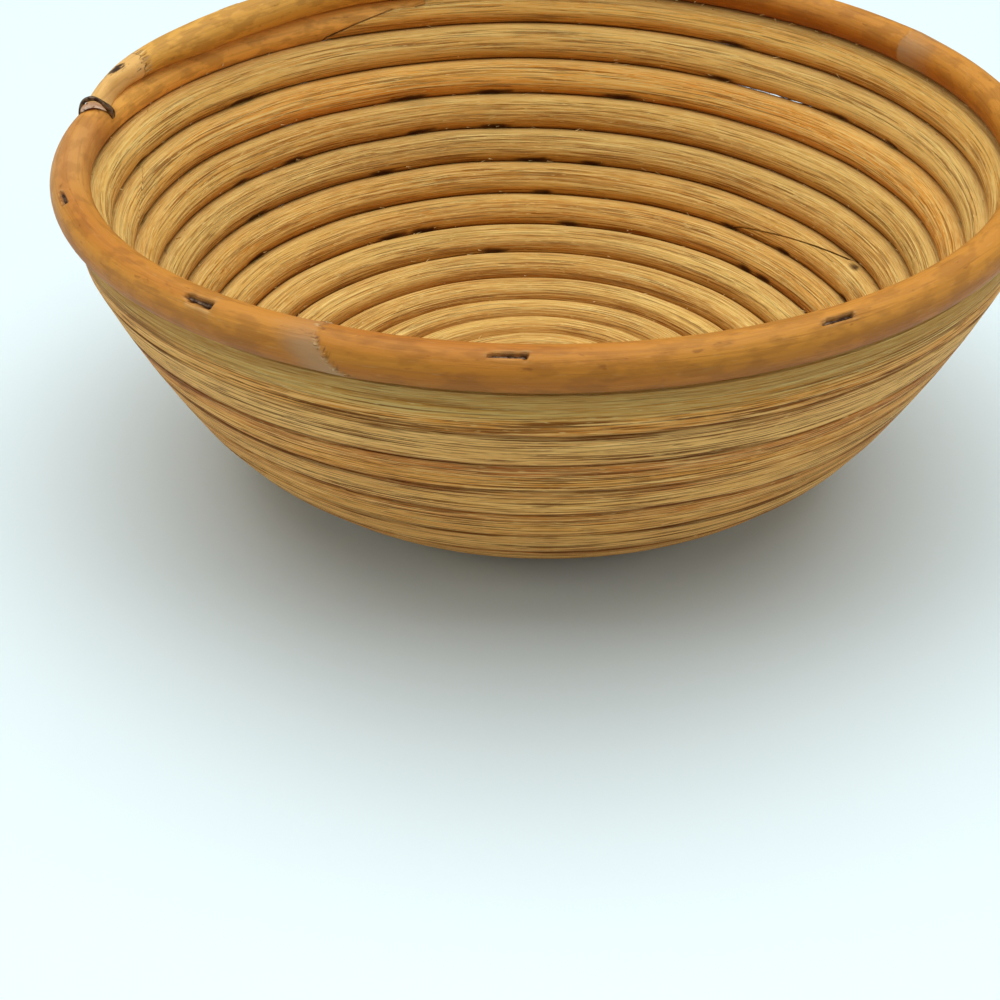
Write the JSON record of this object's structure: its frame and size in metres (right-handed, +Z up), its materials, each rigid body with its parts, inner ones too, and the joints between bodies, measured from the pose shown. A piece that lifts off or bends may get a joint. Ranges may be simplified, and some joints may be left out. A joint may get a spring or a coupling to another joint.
{
  "type": "coiled cane bowl",
  "caption": "Round bowl wound from lengths of cane in one spiral, with a rim cane on top, for proving dough or holding bread, fruit or small things.",
  "frame": {"origin": "on the surface that the bowl stands on, under the middle of its outline", "axes": "+Z up, out of the bowl's mouth; +Y towards the back, where the peeled cane's upper edge meets the rim cane's start; +X to the right seen from the front"},
  "size_m": [0.231, 0.231, 0.0912],
  "materials": {
    "peeled_cane": "peeled rattan, sanded, matt",
    "rim_cane": "rattan with its skin on, soft gloss",
    "staple_steel": "dull, stained dark by the cane"
  },
  "bodies": {
    "root": {"base_cane": "peeled_cane", "rim_band_staple": "staple_steel", "rim_cane": "rim_cane", "rim_staple_01": "staple_steel", "rim_staple_02": "staple_steel", "rim_staple_03": "staple_steel", "rim_staple_04": "staple_steel", "rim_staple_05": "staple_steel", "rim_staple_06": "staple_steel", "rim_staple_07": "staple_steel", "rim_staple_08": "staple_steel", "rim_staple_09": "staple_steel", "rim_staple_10": "staple_steel", "scarf_brad": "staple_steel", "side_cane": "peeled_cane", "upper_cane": "peeled_cane", "wall_staple_01": "staple_steel", "wall_staple_02": "staple_steel", "wall_staple_03": "staple_steel", "wall_staple_04": "staple_steel", "wall_staple_05": "staple_steel", "wall_staple_06": "staple_steel", "wall_staple_07": "staple_steel", "wall_staple_08": "staple_steel", "wall_staple_09": "staple_steel", "wall_staple_10": "staple_steel", "wall_staple_11": "staple_steel", "wall_staple_12": "staple_steel", "wall_staple_13": "staple_steel", "wall_staple_14": "staple_steel", "wall_staple_15": "staple_steel", "wall_staple_16": "staple_steel", "wall_staple_17": "staple_steel", "wall_staple_18": "staple_steel", "wall_staple_19": "staple_steel", "wall_staple_20": "staple_steel", "wall_staple_21": "staple_steel", "wall_staple_22": "staple_steel", "wall_staple_23": "staple_steel", "wall_staple_24": "staple_steel", "wall_staple_25": "staple_steel", "wall_staple_26": "staple_steel", "wall_staple_27": "staple_steel", "wall_staple_28": "staple_steel", "wall_staple_29": "staple_steel", "wall_staple_30": "staple_steel", "wall_staple_31": "staple_steel", "wall_staple_32": "staple_steel", "wall_staple_33": "staple_steel", "wall_staple_34": "staple_steel", "wall_staple_35": "staple_steel", "wall_staple_36": "staple_steel", "wall_staple_37": "staple_steel", "wall_staple_38": "staple_steel", "wall_staple_39": "staple_steel", "wall_staple_40": "staple_steel", "wall_staple_41": "staple_steel", "wall_staple_42": "staple_steel", "wall_staple_43": "staple_steel", "wall_staple_44": "staple_steel"}
  },
  "joints": []
}
